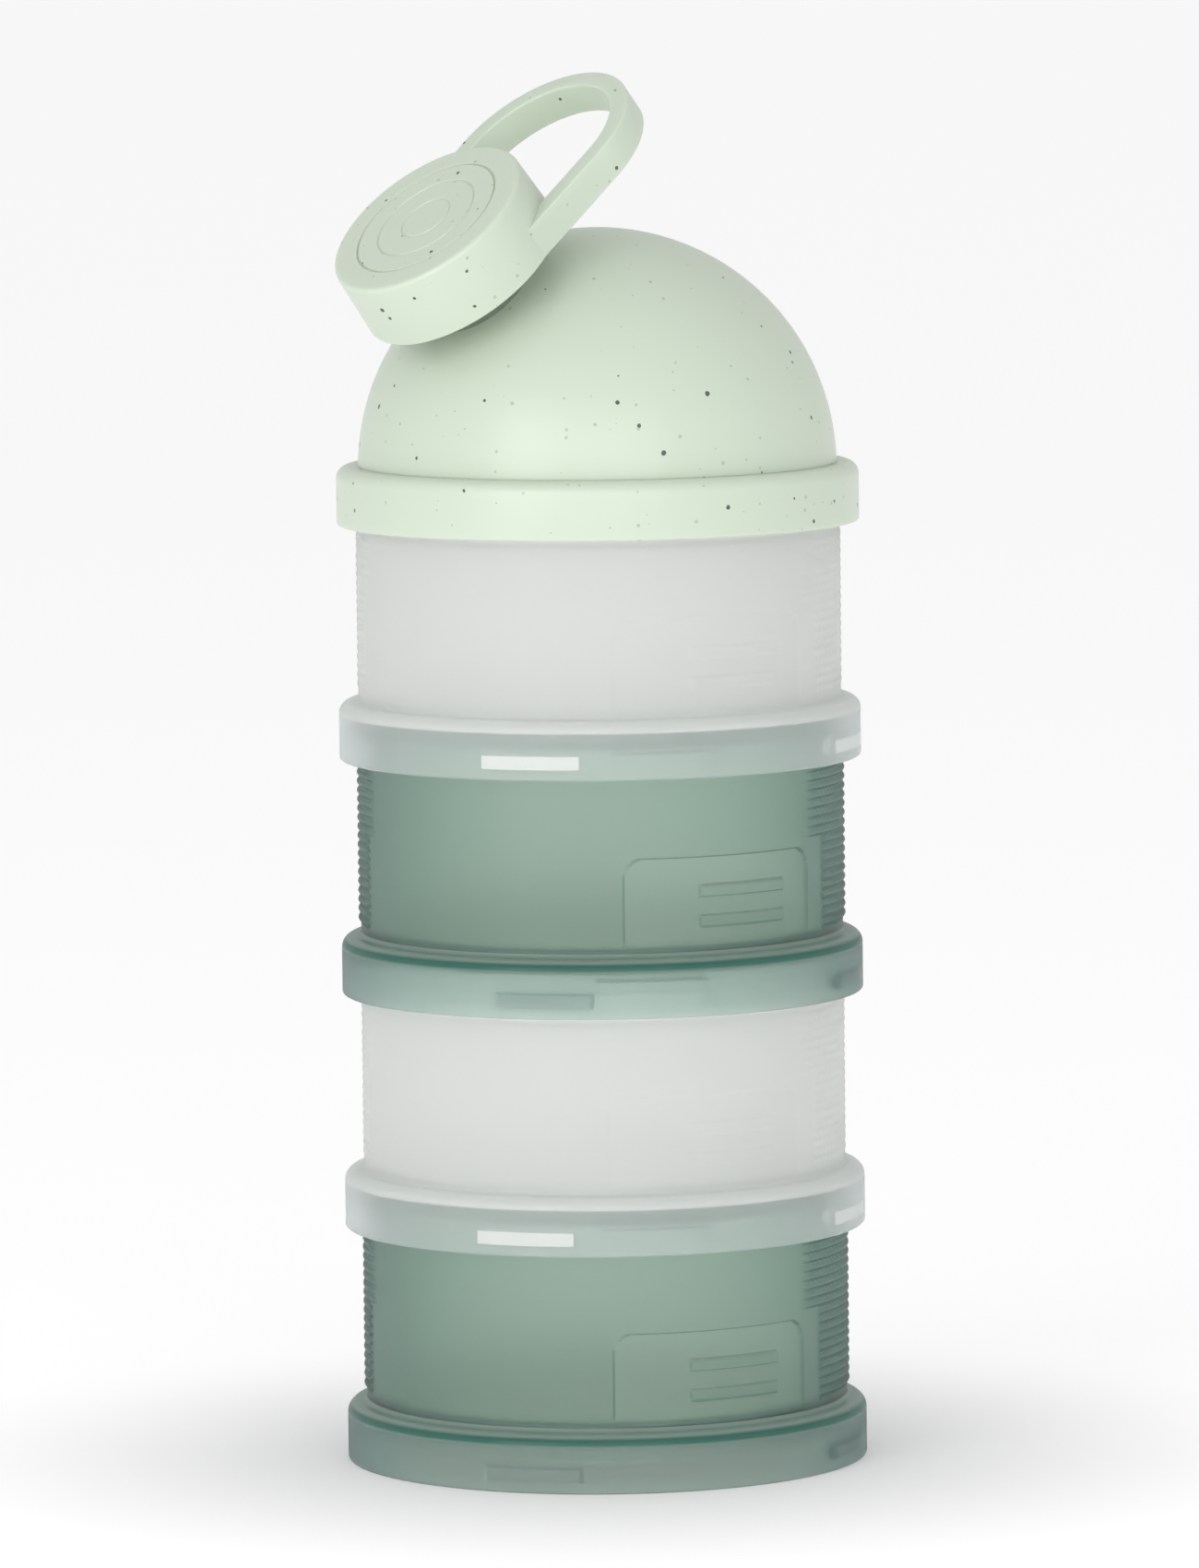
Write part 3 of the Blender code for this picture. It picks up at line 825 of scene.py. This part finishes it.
def cloudy_finish(name, look):
    """Cloudy polypropylene: part light scattered at the wall, part seen through it."""
    material, tree, shader, coordinates = new_finish(name)
    zone = zones(tree, coordinates)
    # under masks the relief's slopes for painted shade
    under = painted_shade_slopes(tree, coordinates)
    brighter = tuple(min(1.0, 1.03 * c) for c in look.cloud)
    colour = mixed(tree, flow_marks(tree, coordinates, 30.0), look.cloud, brighter)
    colour = mixed(tree, maths(tree, "MAXIMUM", zone["floor"], zone["lug"]), colour, look.pale)
    # Painted shade: the relief's slopes are darkened towards the band colour; the edge and shoulder zones
    # take the band colour of the thick rim
    dark = maths(tree, "MULTIPLY_ADD", under, 0.7, zone["edge"])
    dark = maths(tree, "MULTIPLY_ADD", zone["shoulder"], 0.1, dark)
    colour = mixed(tree, dark, colour, look.band)
    scattered = scattered_share(tree, coordinates, shader, look, colour, zone)
    # The window's tint also carries the painted shade on the relief's slopes, with a little of the band
    # colour on the shoulder
    shoulder_tint_and_painted_shade = maths(tree, "MULTIPLY_ADD", zone["shoulder"], 0.15, product(tree, under, 0.6))
    tint = mixed(tree, shoulder_tint_and_painted_shade, mixed(tree, zone["skirt"], *look.tints), look.band)
    window = window_share(tree, look, tint, zone["floor"])
    share = look.clear["body"]
    for key, mask in zone.items():
        share = blend(tree, mask, share, look.clear.get(key, look.clear["body"]))
    surface = node(tree, "ShaderNodeMixShader", i0=share, i1=scattered.outputs[0], i2=window.outputs[0])
    output = tree.nodes["Material Output"]
    tree.links.new(surface.outputs[0], output.inputs["Surface"])
    if look.absorbed is not None:
        volume = node(tree, "ShaderNodeVolumeAbsorption", Color=look.absorbed, Density=look.density)
        tree.links.new(volume.outputs[0], output.inputs["Volume"])
    return material


def make_finishes():
    frost = (0.93, 0.94, 0.925, 1.0)
    icy = (0.94, 0.985, 1.0, 1.0)
    frost_look = Cloudy(
        cloud=frost,
        band=frost,
        pale=frost,
        clear={
            "body": 0.4,
            "skirt": 0.77,
            "lug": 0.12,
            "neck": 0.1,
            "floor": 0.4,
            "edge": 0.16,
            "shoulder": 0.16,
        },
        bend=1.15,
        roughness=0.4,
        haze=0.45,
        tints=(WHITE, icy),
    )
    warm = (0.93, 0.985, 0.89, 1.0)
    pale = (0.968, 1.0, 0.945, 1.0)
    sage_look = Cloudy(
        cloud=(0.60, 0.75, 0.66, 1.0),
        band=(0.07, 0.26, 0.205, 1.0),
        pale=(0.93, 0.98, 0.92, 1.0),
        clear={
            "body": 0.88,
            "skirt": 0.94,
            "lug": 0.88,
            "neck": 0.88,
            "floor": 0.1,
            "edge": 0.25,
            "shoulder": 0.38,
        },
        bend=1.2,
        roughness=0.22,
        haze=0.5,
        tints=(warm, pale),
        absorbed=(0.45, 0.594, 0.612, 1.0),
        density=395.0,
    )
    rubber = Cloudy(
        cloud=(0.9, 0.9, 0.89, 1.0),
        band=WHITE,
        pale=WHITE,
        clear={"body": 0.4},
        bend=1.2,
        roughness=0.3,
        haze=0.3,
    )
    return {
        "mint_plastic": mint_finish(),
        "frost_plastic": cloudy_finish("frost_plastic", frost_look),
        "sage_plastic": cloudy_finish("sage_plastic", sage_look),
        "silicone": cloudy_finish("silicone", rubber),
    }


# Studio


def make_floor():
    """A wide pale floor that glows a little, and less under the object, which paints a soft shadow there."""
    bpy.ops.mesh.primitive_circle_add(vertices=96, radius=30.0, fill_type="NGON")
    floor = bpy.context.object
    floor.name = "floor"
    material = bpy.data.materials.new("pale_floor")
    material.use_nodes = True
    shader = material.node_tree.nodes["Principled BSDF"]
    shader.inputs["Base Color"].default_value = (0.9, 0.9, 0.9, 1.0)
    shader.inputs["Roughness"].default_value = 0.9
    shader.inputs["Specular IOR Level"].default_value = 0.1
    shader.inputs["Emission Color"].default_value = (1.0, 1.0, 1.0, 1.0)
    tree = material.node_tree
    place = tree.nodes.new("ShaderNodeTexCoord").outputs["Object"]
    away = vectors(tree, "LENGTH", place, output="Value")
    near_at, near = PAINTED_SHADOW_GLOW
    away_at, far = GLOW_AWAY
    # Less glow near the object: a painted shadow on the floor around its foot
    glow = node(tree, "ShaderNodeMapRange", Value=away, i1=near_at, i2=away_at, i3=near, i4=far)
    glow.interpolation_type = "SMOOTHSTEP"
    tree.links.new(glow.outputs[0], shader.inputs["Emission Strength"])
    floor.data.materials.append(material)


def softbox(name, azimuth, elevation, distance, width, height, power):
    """A soft light at this turn from the front (-Y) towards +X, aimed at the middle of the stack."""
    data = bpy.data.lights.new(name, "AREA")
    data.shape = "RECTANGLE"
    data.size = width
    data.size_y = height
    data.energy = power
    light = bpy.data.objects.new(name, data)
    bpy.context.scene.collection.objects.link(light)
    a, e = math.radians(azimuth), math.radians(elevation)
    way = Vector((math.sin(a) * math.cos(e), -math.cos(a) * math.cos(e), math.sin(e)))
    light.location = Vector(AIM) + distance * way
    light.visible_camera = False
    light.rotation_euler = (-way).to_track_quat("-Z", "Y").to_euler()


def make_world():
    """An even pale surround that is darker overhead."""
    world = bpy.data.worlds.new("studio")
    bpy.context.scene.world = world
    world.use_nodes = True
    tree = world.node_tree
    background = tree.nodes["Background"]
    direction = tree.nodes.new("ShaderNodeTexCoord").outputs["Generated"]
    split = tree.nodes.new("ShaderNodeSeparateXYZ")
    tree.links.new(direction, split.inputs[0])
    shade = tree.nodes.new("ShaderNodeValToRGB")
    shade.color_ramp.elements[0].position = 0.0
    shade.color_ramp.elements[0].color = WHITE
    shade.color_ramp.elements[1].position = 0.95
    shade.color_ramp.elements[1].color = (0.85, 0.85, 0.85, 1.0)
    tree.links.new(split.outputs["Z"], shade.inputs[0])
    tree.links.new(shade.outputs[0], background.inputs["Color"])
    background.inputs["Strength"].default_value = SURROUND


def make_camera():
    data = bpy.data.cameras.new("camera")
    data.lens = CAMERA_LENS
    data.sensor_width = 36.0
    data.clip_start = 0.05
    data.clip_end = 60.0
    camera = bpy.data.objects.new("camera", data)
    bpy.context.scene.collection.objects.link(camera)
    tilt = Matrix.Rotation(math.radians(90.0 - CAMERA_PITCH), 4, "X")
    roll = Matrix.Rotation(math.radians(CAMERA_ROLL), 4, "Z")
    camera.matrix_world = Matrix.Translation(CAMERA_PLACE) @ tilt @ roll
    bpy.context.scene.camera = camera


def make_studio():
    make_floor()
    make_world()
    for box in SOFTBOXES:
        softbox(*box)
    bpy.context.scene.view_settings.view_transform = "Standard"


finishes = make_finishes()
make_camera()
make_pots(finishes)
make_seals(finishes["silicone"])
make_lid(finishes["mint_plastic"])
make_cap(finishes["mint_plastic"])
make_cap_seal(finishes["silicone"])
make_studio()
